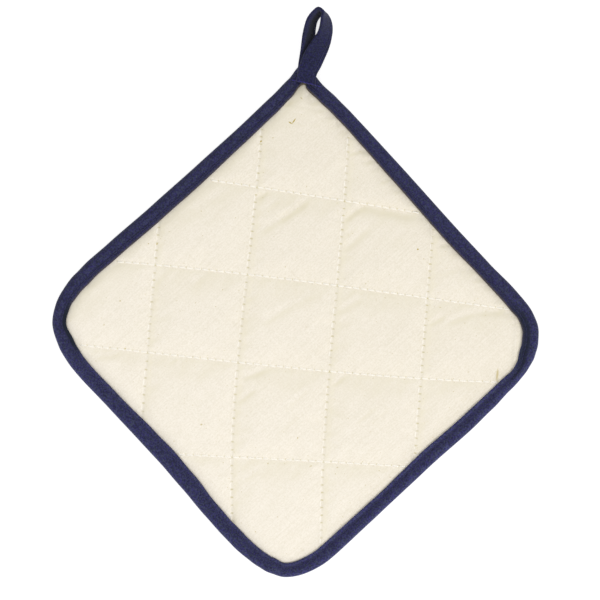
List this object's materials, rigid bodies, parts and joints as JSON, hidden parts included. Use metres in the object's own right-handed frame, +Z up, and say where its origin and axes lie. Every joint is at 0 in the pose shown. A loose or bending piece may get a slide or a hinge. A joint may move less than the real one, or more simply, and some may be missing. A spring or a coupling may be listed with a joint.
{
  "type": "pot holder",
  "caption": "Square quilted cotton pot holder lying flat, with a folded tape binding round its rounded edge and a strap loop at one corner for hanging.",
  "frame": {"origin": "the middle of the pad's back, on the surface it lies on", "axes": "+Y from the middle to the corner with the loop, along the square's diagonal; +Z up out of the face; +X to the right when the face is looked at with the loop upwards"},
  "size_m": [0.2611, 0.3063, 0.0102],
  "materials": {
    "natural_cotton": "unbleached plain-weave cotton, matt, quilted with cream thread",
    "navy_tape": "navy plain-weave cotton tape, matt, pressed and topstitched"
  },
  "bodies": {
    "root": {"quilted_pad": "natural_cotton", "edge_binding": "navy_tape", "hanging_loop": "navy_tape"}
  },
  "joints": []
}
